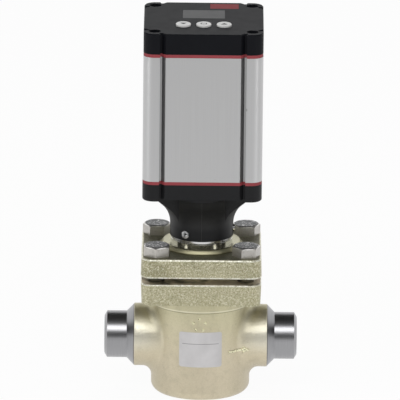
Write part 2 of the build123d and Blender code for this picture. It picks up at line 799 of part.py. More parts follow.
# Top cap with places for the display, the keys, a plain plate and four screws
key_places = [(-key_pitch, key_y), (0, key_y), (key_pitch, key_y)]
with BuildPart() as top_cap:
    with BuildSketch(Plane.XY.offset(top_cap_z)):
        add(housing_outline())
    extrude(amount=top_cap_height)
    chamfer(top_cap.faces().sort_by(Axis.Z)[-1].edges(), top_edge_break)
    with BuildSketch(Plane.XY.offset(top_cap_z)):
        add(housing_hollow(housing_wall))
    extrude(amount=top_cap_height - top_wall, mode=Mode.SUBTRACT)
    with BuildSketch(Plane.XY.offset(under_top_z)):
        with Locations((0, display_board_y)):
            with GridLocations(display_board_width - 2 * post_inset, display_board_depth - 2 * post_inset, 2, 2):
                Circle(board_spacer_r)
    extrude(amount=-key_room)
    with BuildSketch(Plane.XY.offset(top_z)):
        with Locations((0, display_y)):
            Rectangle(display_width, display_depth)
    extrude(amount=-display_thickness, mode=Mode.SUBTRACT)
    with BuildSketch(Plane.XY.offset(top_z)):
        with Locations((0, display_y)):
            Rectangle(display_width - 2 * display_frame, display_depth - 2 * display_frame)
        with Locations(*key_places):
            Ellipse(key_width / 2 + key_play, key_depth / 2 + key_play)
    extrude(amount=-top_wall, mode=Mode.SUBTRACT)
    with BuildSketch(Plane.XY.offset(top_z)):
        with Locations((plate_x, plate_y)):
            Rectangle(plate_width, plate_depth)
    extrude(amount=-plate_thickness, mode=Mode.SUBTRACT)
    with BuildSketch(Plane.XY.offset(top_z)):
        with GridLocations(2 * port_x, 2 * port_y, 2, 2):
            Circle(screw_well_r)
    extrude(amount=-screw_well_depth, mode=Mode.SUBTRACT)
    with BuildSketch(Plane.XY.offset(top_cap_z)):
        with GridLocations(2 * port_x, 2 * port_y, 2, 2):
            Circle(port_r + slip)
    extrude(amount=top_cap_height, mode=Mode.SUBTRACT)
save(top_cap, "top_cap")


def corner_screws(head_seat_z, up):
    """Four socket screws with their heads outward; up is 1 for heads above, -1 for heads below."""
    with BuildPart() as screws:
        with BuildSketch(Plane.XY.offset(head_seat_z)):
            with GridLocations(2 * port_x, 2 * port_y, 2, 2):
                Circle(screw_head_r)
        extrude(amount=up * screw_head_height)
        with BuildSketch(Plane.XY.offset(head_seat_z)):
            with GridLocations(2 * port_x, 2 * port_y, 2, 2):
                Circle(port_r - slip / 2)
        extrude(amount=-up * screw_shank_length)
        with BuildSketch(Plane.XY.offset(head_seat_z + up * screw_head_height)):
            with GridLocations(2 * port_x, 2 * port_y, 2, 2):
                RegularPolygon(screw_socket / sqrt(3), 6)
        extrude(amount=-up * screw_head_height / 2, mode=Mode.SUBTRACT)
    return screws


save(corner_screws(top_z - screw_well_depth, 1), "cap_screws")
save(corner_screws(lower_cap_z + screw_head_height, -1), "base_screws")

# Display window, the display behind it, and the plain plate
with BuildPart() as display_window:
    with BuildSketch(Plane.XY.offset(top_z - display_thickness)):
        with Locations((0, display_y)):
            Rectangle(display_width - 2 * slip, display_depth - 2 * slip)
    extrude(amount=display_thickness)
save(display_window, "display_window")

with BuildPart() as display_module:
    with BuildSketch(Plane.XY.offset(board_top_z)):
        with Locations((0, display_y)):
            Rectangle(display_width, display_depth)
    extrude(amount=key_room)
save(display_module, "display_module")

with BuildPart() as top_plate:
    with BuildSketch(Plane.XY.offset(top_z - plate_thickness)):
        with Locations((plate_x, plate_y)):
            Rectangle(plate_width - 2 * slip, plate_depth - 2 * slip)
    extrude(amount=plate_thickness)
save(top_plate, "top_plate")

# Three keys, each held under the top wall by a lip
for label, place in zip(("key_down", "key_enter", "key_up"), key_places):
    with BuildPart() as key:
        with BuildSketch(Plane.XY.offset(under_top_z)):
            with Locations(place):
                Ellipse(key_width / 2, key_depth / 2)
        extrude(amount=top_wall + key_proud)
        fillet(key.faces().sort_by(Axis.Z)[-1].edges(), key_proud / 2)
        with BuildSketch(Plane.XY.offset(under_top_z)):
            with Locations(place):
                Rectangle(key_width + 2 * key_lip, key_depth + 2 * key_lip)
        extrude(amount=-key_lip_height)
    save(key, label)

# Display board on the top cap's posts, with a switch under each key
with BuildPart() as display_board:
    with BuildSketch(Plane.XY.offset(board_top_z)):
        with Locations((0, display_board_y)):
            Rectangle(display_board_width, display_board_depth)
    extrude(amount=-board_thickness)
save(display_board, "display_board")

with BuildPart() as key_switches:
    with BuildSketch(Plane.XY.offset(board_top_z)):
        with Locations(*key_places):
            Rectangle(switch_size, switch_size)
    extrude(amount=key_room - key_lip_height - key_travel - switch_play)
save(key_switches, "key_switches")

# Stepping motor on the lower cap, with its flange, pilot and four screws
with BuildPart() as stepper_motor:
    with BuildSketch(Plane.XY.offset(lower_cap_top_z)):
        RectangleRounded(motor_side, motor_side, board_spacer_r)
    extrude(amount=motor_flange_height)
    with BuildSketch(Plane.XY.offset(lower_cap_top_z)) as motor_body:
        Rectangle(motor_side, motor_side)
        chamfer(motor_body.vertices(), motor_corner)
    extrude(amount=motor_height)
    with BuildSketch(Plane.XY.offset(pilot_z)):
        Circle(motor_pilot_r)
    extrude(amount=motor_pilot_height)
    with BuildSketch(Plane.XY.offset(pilot_z)):
        Circle(motor_shaft_r + running_play)
    extrude(amount=motor_height / 2, mode=Mode.SUBTRACT)
    with BuildSketch(Plane.XY.offset(lower_cap_top_z)):
        with GridLocations(motor_screw_pitch, motor_screw_pitch, 2, 2):
            Circle(motor_screw_r + slip)
    extrude(amount=motor_flange_height, mode=Mode.SUBTRACT)
save(stepper_motor, "stepper_motor")

with BuildPart() as motor_screws:
    with BuildSketch(Plane.XY.offset(lower_cap_top_z + motor_flange_height)):
        with GridLocations(motor_screw_pitch, motor_screw_pitch, 2, 2):
            Circle(motor_screw_head_r)
    extrude(amount=motor_screw_head)
    with BuildSketch(Plane.XY.offset(lower_cap_top_z + motor_flange_height)):
        with GridLocations(motor_screw_pitch, motor_screw_pitch, 2, 2):
            Circle(motor_screw_r)
    extrude(amount=-motor_screw_length)
save(motor_screws, "motor_screws")

with BuildPart() as motor_shaft:
    shaft_z = drive_top_z + drive_web + edge_break
    with BuildSketch(Plane.XY.offset(shaft_z)):
        Circle(motor_shaft_r)
    extrude(amount=pilot_z + motor_height / 2 - slip - shaft_z)
save(motor_shaft, "motor_shaft")

# Main board on spacers at the back wall, with its capacitors
back_wall_y = actuator_depth / 2 - housing_wall
board_back_y = back_wall_y - board_spacer_length
board_mid_z = housing_z + housing_height / 2
main_board_height = housing_height - 2 * main_board_margin
capacitor_z = lower_cap_top_z + motor_height + capacitor_over_motor + capacitor_r
with BuildPart() as main_board:
    with BuildSketch(Plane.XZ.offset(-board_back_y)):
        with Locations((0, board_mid_z)):
            Rectangle(main_board_width, main_board_height)
    extrude(amount=board_thickness)
save(main_board, "main_board")

with BuildPart() as board_spacers:
    with BuildSketch(Plane.XZ.offset(-back_wall_y)):
        with Locations((0, board_mid_z)):
            with GridLocations(main_board_width - 2 * post_inset, main_board_height - 2 * post_inset, 2, 2):
                Circle(board_spacer_r)
    extrude(amount=board_spacer_length)
save(board_spacers, "board_spacers")

with BuildPart() as board_capacitors:
    with BuildSketch(Plane.XZ.offset(-(board_back_y - board_thickness))):
        with Locations((0, capacitor_z)):
            with GridLocations(2 * capacitor_r + capacitor_gap, 1, capacitor_count, 1):
                Circle(capacitor_r)
    extrude(amount=capacitor_height)
save(board_capacitors, "board_capacitors")

# Two round screw connectors under the back of the bottom cap
for label, side, pins in (
    ("supply_connector", -1, supply_pin_count),
    ("control_connector", 1, control_pin_count),
):
    with BuildPart() as connector:
        place = (side * connector_x, connector_y)
        with BuildSketch(Plane.XY.offset(lower_cap_z)):
            with Locations(place):
                Circle(connector_thread_r)
        extrude(amount=-connector_length)
        with BuildSketch(Plane.XY.offset(lower_cap_z)):
            with Locations(place):
                RegularPolygon(connector_nut_r, 6)
        extrude(amount=-connector_nut_height)
        with BuildSketch(Plane.XY.offset(lower_cap_z)):
            with Locations(place):
                Circle(connector_thread_r - 1)
        extrude(amount=connector_tail)
        with BuildSketch(Plane.XY.offset(lower_cap_z - connector_length)):
            with Locations(place):
                Circle(connector_recess_r)
                with PolarLocations(pin_circle, pins):
                    Circle(pin_r, mode=Mode.SUBTRACT)
        extrude(amount=connector_recess, mode=Mode.SUBTRACT)
    save(connector, label)
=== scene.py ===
"""Looks of the motor-operated valve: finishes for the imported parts, small cast, turned and
printed details, studio, lights and camera. Lengths are metres, in the part's own frame."""
from math import cos, radians, sin

import bmesh
import bpy
from mathutils import Matrix, Vector
from mathutils.bvhtree import BVHTree


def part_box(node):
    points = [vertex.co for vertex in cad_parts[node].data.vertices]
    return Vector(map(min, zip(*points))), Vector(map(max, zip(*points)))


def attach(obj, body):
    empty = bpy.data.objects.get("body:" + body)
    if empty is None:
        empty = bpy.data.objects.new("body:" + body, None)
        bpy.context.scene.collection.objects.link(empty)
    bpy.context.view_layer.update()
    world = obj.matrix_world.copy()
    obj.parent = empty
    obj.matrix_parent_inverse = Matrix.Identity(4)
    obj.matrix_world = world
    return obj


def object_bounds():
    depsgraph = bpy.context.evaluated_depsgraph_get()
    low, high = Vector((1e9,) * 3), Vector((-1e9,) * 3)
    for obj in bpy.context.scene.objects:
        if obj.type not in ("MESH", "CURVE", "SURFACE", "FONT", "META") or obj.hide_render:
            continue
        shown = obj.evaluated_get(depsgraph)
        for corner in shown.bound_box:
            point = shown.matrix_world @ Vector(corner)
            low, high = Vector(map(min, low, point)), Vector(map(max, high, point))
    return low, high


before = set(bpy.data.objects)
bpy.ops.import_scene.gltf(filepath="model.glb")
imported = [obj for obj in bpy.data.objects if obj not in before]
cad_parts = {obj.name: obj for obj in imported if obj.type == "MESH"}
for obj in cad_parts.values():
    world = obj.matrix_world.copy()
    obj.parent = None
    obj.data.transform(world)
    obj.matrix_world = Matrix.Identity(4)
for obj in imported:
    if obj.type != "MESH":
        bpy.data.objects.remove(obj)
cad_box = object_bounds()
mm = 0.001


def add_object(name, data):
    """A new object of the scene, at the origin."""
    made = bpy.data.objects.new(name, data)
    bpy.context.scene.collection.objects.link(made)
    return made


class Value:
    """One socket of a shader tree. Arithmetic on it adds Math nodes."""

    def __init__(self, finish, socket):
        self.finish = finish
        self.socket = socket

    def math(self, operation, first, second=0.0):
        return self.finish.node("Math", {"operation": operation}, {0: first, 1: second})

    def __add__(self, other):
        return self.math("ADD", self, other)

    def __radd__(self, other):
        return self.math("ADD", other, self)

    def __sub__(self, other):
        return self.math("SUBTRACT", self, other)

    def __rsub__(self, other):
        return self.math("SUBTRACT", other, self)

    def __mul__(self, other):
        return self.math("MULTIPLY", self, other)

    def __rmul__(self, other):
        return self.math("MULTIPLY", other, self)

    def __abs__(self):
        return self.math("ABSOLUTE", self)

    def between(self, low, high):
        """0 below low, 1 above high and smooth from one to the other."""
        ramp = {0: self, 1: low, 2: high, 3: 0.0, 4: 1.0}
        return self.finish.node("MapRange", {"interpolation_type": "SMOOTHSTEP"}, ramp)

    def band(self, low, high, blur):
        """1 from low to high and 0 outside, blurred over a length at both ends."""
        return self.between(low, low + blur) * (1 - self.between(high - blur, high))


class Finish:
    """A material or world under construction. Sockets are named or numbered as Blender has them."""

    def __init__(self, owner):
        owner.use_nodes = True
        self.owner = owner
        self.tree = owner.node_tree
        self.tree.nodes.clear()

    def node(self, kind, settings=None, inputs=None, output=0):
        """Adds a node: its settings first, then values or links for its sockets."""
        made = self.tree.nodes.new("ShaderNode" + kind)
        for name, setting in (settings or {}).items():
            setattr(made, name, setting)
        for name, value in (inputs or {}).items():
            self.feed(made.inputs[name], value)
        return Value(self, made.outputs[output]) if made.outputs else None

    def feed(self, socket, value):
        if isinstance(value, Value):
            self.tree.links.new(value.socket, socket)
        elif isinstance(value, tuple) and len(value) == 3 and socket.type == "RGBA":
            socket.default_value = (*value, 1.0)
        else:
            socket.default_value = value

    def place(self):
        return self.node("TexCoord", output="Object")

    def axes(self):
        """The three Object coordinates, each as a Value."""
        split = self.node("SeparateXYZ", inputs={0: self.place()})
        outputs = split.socket.node.outputs
        return [Value(self, outputs[index]) for index in range(3)]

    def noise(self, scale, detail=2.0, roughness=0.5, vector=None):
        pattern = {"Scale": scale, "Detail": detail, "Roughness": roughness}
        return self.node("TexNoise", inputs={"Vector": vector or self.place(), **pattern})

    def lines(self, rates, detail=2.0):
        """Noise drawn out into lines. It changes at these rates along the three axes."""
        stretched = self.node("Mapping", inputs={"Vector": self.place(), "Scale": rates})
        return self.noise(1.0, detail, vector=stretched)

    def mix(self, share, first, second):
        """A colour between two others."""
        settings = {"data_type": "RGBA", "clamp_factor": True}
        return self.node("Mix", settings, {0: share, 6: first, 7: second}, output=2)

    def mix_normals(self, share, first, second):
        """A direction of the surface between two others."""
        inputs = {0: share, 4: first, 5: second}
        return self.node("Mix", {"data_type": "VECTOR"}, inputs, output=1)

    def bump(self, height, distance, strength):
        inputs = {"Height": height, "Distance": distance, "Strength": strength}
        return self.node("Bump", inputs=inputs)

    def surface(self, **sockets):
        """Ends the material in a Principled shader with these sockets."""
        named = {name.replace("_", " "): value for name, value in sockets.items()}
        shader = self.node("BsdfPrincipled", inputs=named)
        self.node("OutputMaterial", inputs={"Surface": shader})
        return self.owner


def new_finish(name):
    return Finish(bpy.data.materials.new(name))


def grey(level):
    return (level, level, level)


# Places where the finishes change: heights over the base, and distances from the middle

rim_low = 66.7 * mm         # lower edge of the body's rim
flange_from = 72.0 * mm     # the flange and the bonnet are rougher than the body under them
flange_top = 89.3 * mm
bonnet_low = 94.1 * mm
bonnet_top = 108.15 * mm
hub_top = 111.6 * mm
bolt_top = 115.3 * mm
neck_low = 115.8 * mm
neck_high = 153.4 * mm

bare_from = 47.6 * mm       # bare turned steel starts here, on both sides of the valve
bare_blur = 0.25 * mm
# a painted dark reflection in the chamfer, just past where the bare steel starts
dark_reflection_from = bare_from + 0.45 * mm
dark_reflection_to = bare_from + 0.9 * mm

groove_x = (26.7 * mm, 30.9 * mm)    # the long grooves of the housing
groove_y = (29.1 * mm, 33.3 * mm)
groove_in_x = 42.3 * mm              # beyond these the surface is the housing's face
groove_in_y = 44.7 * mm
groove_floor = 0.8                   # share of those distances that no groove goes below
groove_blur = 0.1 * mm
face_blur = 0.2 * mm

label_line = (43.1 * mm, 43.5 * mm)
label_line_half = 13.0 * mm
label_line_blur = 0.08 * mm
key_pitch = 14.5 * mm
key_row_y = -18.6 * mm
ink_blur = 0.1 * mm

# Rates of the lines that tools leave, along the three axes
pipe_lines = (5200.0, 60.0, 60.0)
lathe_lines = (60.0, 60.0, 4200.0)
drawn_lines = (1600.0, 1600.0, 12.0)
lathe_depth = 0.01 * mm

# Finishes of the castings


def zinc_colour(finish, height):
    """Yellow zinc, a little pinkish low on the body, with soft clouds."""
    drift = finish.noise(34.0, detail=3.0)
    yellow = finish.mix(drift, (0.58, 0.54, 0.34), (0.66, 0.62, 0.43))
    pinkish = finish.mix(drift, (0.62, 0.555, 0.40), (0.70, 0.62, 0.47))
    colour = finish.mix(height.between(25 * mm, 75 * mm), pinkish, yellow)
    cloud = finish.noise(170.0, detail=4.0, roughness=0.6).between(0.45, 0.75)
    cloud_colour = (0.25, 0.23, 0.14)
    return finish.mix(cloud * 0.16, colour, cloud_colour)


def speckled(finish, colour, share):
    """Painted shade in the pits and painted glints on the grains of a coarse sand casting, share
    being 0 for none.
    """
    pit_shade_colour = (0.13, 0.12, 0.06)
    grain_glint_colour = (0.97, 0.95, 0.80)
    grains = finish.noise(900.0, detail=4.0, roughness=0.8)
    colour = finish.mix((1 - grains.between(0.34, 0.50)) * share, colour, pit_shade_colour)
    return finish.mix(grains.between(0.53, 0.61) * share, colour, grain_glint_colour)


def glinting(finish):
    """Broken painted highlights along an edge: 1 on a glint, and less where it is dull."""
    dull = 0.35
    glints = finish.noise(430.0, detail=3.0, roughness=0.7).between(0.42, 0.54)
    return dull + glints * (1 - dull)


def cast_grain(finish, strength):
    """Sand-cast skin: sharp grains over soft lumps."""
    grains = finish.noise(1000.0, detail=4.0, roughness=0.75)
    lumps = finish.noise(380.0)
    return finish.bump(grains + lumps * 0.7, 0.4 * mm, strength)


def cast_body():
    """Zinc over a casting that is rough on the flange, and bare steel on the weld ends."""
    finish = new_finish("cast_body")
    x, _, z = finish.axes()
    side = abs(x)

    bare = side.between(bare_from, bare_from + bare_blur)
    # Painted dark reflection in the chamfer at the edge of the bare steel
    dark_reflection = bare * (1 - side.between(dark_reflection_from, dark_reflection_to))
    turning = finish.lines(pipe_lines)
    steel = finish.mix(turning, (0.27, 0.27, 0.28), (0.44, 0.44, 0.45))
    dark_reflection_colour = (0.10, 0.09, 0.08)
    steel = finish.mix(dark_reflection * 0.8, steel, dark_reflection_colour)

    flange = z.between(flange_from, flange_from + 2 * mm)
    flange_shade = (0.20, 0.19, 0.11)
    zinc = finish.mix(flange * 0.24, zinc_colour(finish, z), flange_shade)
    # Painted highlights on the collars
    glint_share = side.between(20 * mm, 46 * mm) * z.band(30 * mm, 64 * mm, 14 * mm)
    collar_glint_colour = (0.97, 0.95, 0.84)
    zinc = finish.mix(glint_share * 0.55, zinc, collar_glint_colour)
    low_side = side.between(12 * mm, 35 * mm) * (1 - z.between(18 * mm, 32 * mm))
    low_shade = (0.26, 0.23, 0.15)
    zinc = finish.mix(low_side * 0.22, zinc, low_shade)
    zinc = speckled(finish, zinc, 0.07 + flange * 0.45)

    # Painted highlights along the flange's top edge
    edge = z.band(flange_top - 1.0 * mm, flange_top - 0.04 * mm, 0.03 * mm)
    edge_highlight_colour = (0.97, 0.96, 0.86)
    zinc = finish.mix(edge * glinting(finish), zinc, edge_highlight_colour)
    # Painted warm reflections on the flange's top face
    face = z.between(flange_top - 0.04 * mm, flange_top - 0.01 * mm)
    warm_reflection = finish.noise(70.0).between(0.34, 0.54)
    face_reflection_colour = finish.mix(warm_reflection, (0.20, 0.17, 0.11), (0.80, 0.70, 0.55))
    zinc = finish.mix(face, zinc, face_reflection_colour)

    under_rim = z.band(rim_low - 1.2 * mm, rim_low, 0.4 * mm)
    over_rim = z.band(rim_low, rim_low + 1.3 * mm, 0.4 * mm)
    rim_shade = (0.20, 0.17, 0.10)
    rim_light = (0.95, 0.92, 0.76)
    zinc = finish.mix(under_rim * 0.55, zinc, rim_shade)
    zinc = finish.mix(over_rim * 0.5, zinc, rim_light)

    skin = cast_grain(finish, 0.6 + flange * 0.35)
    lathe = finish.bump(turning, lathe_depth, 0.25)
    return finish.surface(
        Base_Color=finish.mix(bare, zinc, steel),
        Metallic=0.85 + bare * 0.15,
        Roughness=0.35 * (1 - bare) + bare * 0.31,
        Normal=finish.mix_normals(bare, skin, lathe),
    )


def cast_bonnet():
    """Cast plate with painted highlights along its edges, painted shade in patches and towards its
    ends, a painted dark reflection on its top, and a hub turned smooth.
    """
    finish = new_finish("cast_bonnet")
    x, _, z = finish.axes()

    upper_edge = z.band(bonnet_top - 1.7 * mm, bonnet_top - 0.15 * mm, 0.4 * mm)
    lower_edge = 1 - z.between(bonnet_low + 0.5 * mm, bonnet_low + 1.4 * mm)
    plate_top = z.band(bonnet_top - 0.1 * mm, bonnet_top + 0.3 * mm, 0.08 * mm)
    turned = z.between(bonnet_top + 0.3 * mm, bonnet_top + 0.6 * mm)
    patches = finish.noise(55.0).between(0.42, 0.66)
    toward_ends = abs(x).between(14 * mm, 34 * mm)
    shade = 0.18 + patches * 0.26 + toward_ends * 0.12

    shade_colour = (0.19, 0.18, 0.09)
    edge_highlight_colour = (0.97, 0.96, 0.84)
    top_reflection_colour = (0.10, 0.10, 0.06)
    hub_colour = (0.42, 0.40, 0.26)
    zinc = finish.mix(shade, zinc_colour(finish, z), shade_colour)
    zinc = speckled(finish, zinc, 0.66)
    # Painted highlights along the plate's edges, then a painted dark reflection on its top
    zinc = finish.mix((upper_edge + lower_edge) * glinting(finish) * 0.9, zinc, edge_highlight_colour)
    zinc = finish.mix(plate_top * 0.75, zinc, top_reflection_colour)
    zinc = finish.mix(turned, zinc, hub_colour)

    skin = cast_grain(finish, 0.9)
    lathe = finish.bump(finish.lines(lathe_lines), lathe_depth, 0.25)
    return finish.surface(
        Base_Color=zinc,
        Metallic=0.85 + turned * 0.1,
        Roughness=0.32 + finish.noise(700.0) * 0.10 - turned * 0.17,
        Normal=finish.mix_normals(turned, skin, lathe),
    )


def glint_cast():
    """Raised marks of the casting, in painted highlights broken by painted shade."""
    finish = new_finish("glint_cast")
    glint_share = finish.noise(1100.0, detail=3.0, roughness=0.7).between(0.36, 0.50)
    return finish.surface(
        Base_Color=finish.mix(glint_share, (0.20, 0.18, 0.10), (0.90, 0.87, 0.62)),
        Metallic=0.85,
        Roughness=0.22 + finish.noise(700.0) * 0.12,
        Normal=cast_grain(finish, 0.8),
    )


def bolt_steel():
    """Bolts of one steel, with painted shade and painted sparkle highlights on the tops, painted
    light on the sides and painted glints along the rims. The shanks stand in painted shadow.
    """
    finish = new_finish("bolt_steel")
    z = finish.axes()[2]
    top = z.between(bolt_top, bolt_top + 0.25 * mm)
    rim = z.band(bolt_top - 0.9 * mm, bolt_top + 0.2 * mm, 0.3 * mm)
    shank = 1 - z.between(bonnet_top - 0.4 * mm, bonnet_top)
    sparkle = finish.noise(620.0, detail=4.0, roughness=0.8).between(0.555, 0.615)

    rim_glint_colour = (0.92, 0.91, 0.88)
    shank_colour = (0.10, 0.095, 0.07)
    sides = finish.mix(sparkle * 0.45, (0.52, 0.50, 0.47), (0.22, 0.21, 0.17))
    sides = finish.mix(rim * glinting(finish), sides, rim_glint_colour)
    sides = finish.mix(shank, sides, shank_colour)
    # Painted shade on the tops with painted sparkle highlights over it
    tops_shade_and_glint = finish.mix(sparkle, (0.050, 0.053, 0.056), (0.95, 0.95, 0.94))
    return finish.surface(
        Base_Color=finish.mix(top, sides, tops_shade_and_glint),
        Metallic=0.9,
        Roughness=0.26 + finish.noise(900.0) * 0.14,
        Normal=finish.bump(finish.noise(900.0, detail=3.0, roughness=0.7), 0.3 * mm, 0.8),
    )


# Finishes of the other parts


def turned_steel(name, colour, roughness):
    """Steel turned on a lathe, with its fine lines."""
    finish = new_finish(name)
    lines = finish.lines(lathe_lines)
    return finish.surface(
        Base_Color=finish.mix(lines * 0.3, colour, grey(0.35)),
        Metallic=1.0,
        Roughness=roughness + lines * 0.06,
        Normal=finish.bump(lines, lathe_depth, 0.3),
    )


def moulded_skin(finish, colour, grain):
    """Colour and Normal of smooth moulded or painted stuff with a fine grain."""
    tone = finish.noise(90.0, detail=3.0)
    return {
        "Base_Color": finish.mix((1 - tone) * 0.3, colour, grey(0.0)),
        "Normal": finish.bump(finish.noise(2600.0), 0.03 * mm, grain),
    }


def uneven(finish, roughness):
    """A roughness that drifts a little to both sides."""
    spread = 0.04
    return roughness - spread + finish.noise(140.0) * (2 * spread)


def moulded(name, colour, roughness, grain=0.25, metallic=0.0, shine=0.5):
    """A finish all of one colour, shine being the strength of its reflection."""
    finish = new_finish(name)
    return finish.surface(
        **moulded_skin(finish, colour, grain),
        Metallic=metallic,
        Roughness=uneven(finish, roughness),
        Specular_IOR_Level=shine,
    )


def black_casting():
    """Painted lower housing, with a little painted light high on the neck, over its ribs."""
    finish = new_finish("black_casting")
    z = finish.axes()[2]
    upper_neck_light = z.band(neck_low + 6 * mm, neck_high, 6 * mm)
    paint = finish.mix(upper_neck_light * 0.8, (0.0115, 0.0118, 0.0130), grey(0.028))
    return finish.surface(
        **moulded_skin(finish, paint, 0.3),
        Roughness=uneven(finish, 0.44),
        Specular_IOR_Level=0.22,
    )


def printed(name, film, ink, roughness, marks):
    """A pale surface with printed marks. marks(x, y, z) gives 1 where there is ink."""
    finish = new_finish(name)
    mask = marks(*finish.axes())
    return finish.surface(
        **moulded_skin(finish, finish.mix(mask, film, ink), 0.06),
        Roughness=roughness + mask * 0.1,
        Specular_IOR_Level=0.4,
    )


def divider_line(x, y, z):
    """The thin line across the label."""
    along = 1 - abs(x).between(label_line_half, label_line_half + ink_blur)
    return z.band(*label_line, label_line_blur) * along


def arrow_mark(key_x, up):
    """A filled arrowhead on a key. up is 1 when it points away from the camera, -1 towards it."""
    reach = 1.9 * mm    # from the key's middle to the tip, and to the base
    slope = 0.72

    def marks(x, y, z):
        along = (y - key_row_y) * up
        spare = (reach - along) * slope - abs(x - key_x)
        return spare.between(0.0, ink_blur) * along.between(-reach - ink_blur, -reach)
    return marks


def rectangle(x, y, half_x, half_y):
    """1 inside a rectangle on the middle key."""
    inside_x = 1 - abs(x).between(half_x, half_x + ink_blur)
    inside_y = 1 - abs(y - key_row_y).between(half_y, half_y + ink_blur)
    return inside_x * inside_y


def frame_mark(x, y, z):
    """A small open rectangle on the middle key."""
    outer = rectangle(x, y, 2.2 * mm, 1.8 * mm)
    inner = rectangle(x, y, 1.5 * mm, 1.1 * mm)
    return outer * (1 - inner)


def anodised():
    """Extruded aluminium with faint lines along the draw, painted shade in the grooves and a few
    small marks.
    """
    finish = new_finish("anodised")
    x, y, _ = finish.axes()
    lines = finish.lines(drawn_lines, detail=3.0)
    marks = finish.noise(300.0, detail=1.0).between(0.80, 0.83)
    side = abs(x)
    depth = abs(y)
    near_face_y = depth.band(groove_floor * groove_in_y, groove_in_y, face_blur)
    near_face_x = side.band(groove_floor * groove_in_x, groove_in_x, face_blur)
    groove_shade = side.band(*groove_x, groove_blur) * near_face_y
    groove_shade = groove_shade + depth.band(*groove_y, groove_blur) * near_face_x
    colour = finish.mix(lines, grey(0.54), (0.61, 0.61, 0.615))
    # Painted shade in the grooves
    colour = finish.mix(groove_shade * 0.35, colour, grey(0.08))
    return finish.surface(
        Base_Color=finish.mix(marks * 0.5, colour, grey(0.15)),
        Metallic=1.0,
        Roughness=0.36 + lines * 0.06,
        Normal=finish.bump(lines, 0.012 * mm, 0.35),
    )


label_white = (0.70, 0.685, 0.69)
label_ink = (0.20, 0.19, 0.22)
label_roughness = 0.38
key_white = (0.70, 0.70, 0.69)
key_ink = (0.012, 0.012, 0.014)
key_roughness = 0.40
finishes = {
    "cast_body": cast_body(),
    "cast_bonnet": cast_bonnet(),
    "glint_cast": glint_cast(),
    "bright_zinc": turned_steel("bright_zinc", (0.36, 0.34, 0.20), roughness=0.42),
    "seam": moulded("seam", grey(0.06), roughness=0.40, shine=0.3),
    "bolts": bolt_steel(),
    "polished": turned_steel("polished", grey(0.72), roughness=0.09),
    "turned": turned_steel("turned", grey(0.55), roughness=0.28),
    "bronze": turned_steel("bronze", (0.62, 0.42, 0.20), roughness=0.32),
    "magnets": moulded("magnets", grey(0.16), roughness=0.45, metallic=0.7),
    "anodised": anodised(),
    "black_housing": moulded(
        "black_housing", (0.0065, 0.0070, 0.0095), roughness=0.50, shine=0.11
    ),
    "black_casting": black_casting(),
    "red_seal": moulded("red_seal", (0.34, 0.060, 0.070), roughness=0.55, shine=0.25),
    "black_rubber": moulded("black_rubber", grey(0.02), roughness=0.60),
    "white_packing": moulded("white_packing", (0.80, 0.79, 0.75), roughness=0.45),
    "label_film": printed(
        "label_film", label_white, label_ink, label_roughness, divider_line
    ),
    "red_plate": moulded(
        "red_plate", (0.24, 0.022, 0.028), roughness=0.50, grain=0.08, shine=0.12
    ),
    "display_glass": moulded(
        "display_glass", (0.030, 0.031, 0.033), roughness=0.30, grain=0.0, shine=0.10
    ),
    "down_key": printed(
        "down_key", key_white, key_ink, key_roughness, arrow_mark(-key_pitch, up=-1)
    ),
    "enter_key": printed("enter_key", key_white, key_ink, key_roughness, frame_mark),
    "up_key": printed("up_key", key_white, key_ink, key_roughness, arrow_mark(key_pitch, up=1)),
    "circuit_board": moulded("circuit_board", (0.02, 0.16, 0.07), roughness=0.40),
    "black_metal": moulded("black_metal", grey(0.03), roughness=0.40, metallic=0.3),
    "nickel": turned_steel("nickel", (0.60, 0.58, 0.52), roughness=0.25),
}
nodes_in = {
    "cast_body": ["valve_body"],
    "cast_bonnet": ["bonnet"],
    "bolts": ["bonnet_bolts"],
    "polished": ["stem_adapter", "spindle", "magnet_sleeve", "set_screws"],
    "turned": ["valve_cage", "valve_cone", "drive_cup", "drive_bearing", "motor_shaft"],
    "bronze": ["guide_bush", "thrust_washer", "rotor_nut", "board_spacers"],
    "magnets": ["rotor_magnets", "drive_magnets"],
    "anodised": ["grooved_housing"],
    "black_housing": ["top_cap", "display_module", "key_switches"],
    "black_casting": ["lower_housing"],
    "red_seal": ["lower_seal", "upper_seal"],
    "black_rubber": ["bonnet_gasket", "stem_o_ring"],
    "white_packing": ["seat_ring", "stem_packing"],
    "label_film": ["body_label"],
    "red_plate": ["top_plate"],
    "display_glass": ["display_window"],
    "down_key": ["key_down"],
    "enter_key": ["key_enter"],
    "up_key": ["key_up"],
    "circuit_board": ["display_board", "main_board"],
    "black_metal": [
        "stepper_motor", "board_capacitors", "cap_screws", "base_screws", "motor_screws",
    ],
    "nickel": ["supply_connector", "control_connector"],
}
for finish_name, nodes in nodes_in.items():
    for node in nodes:
        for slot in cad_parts[node].material_slots:
            slot.material = finishes[finish_name]

# Small pieces


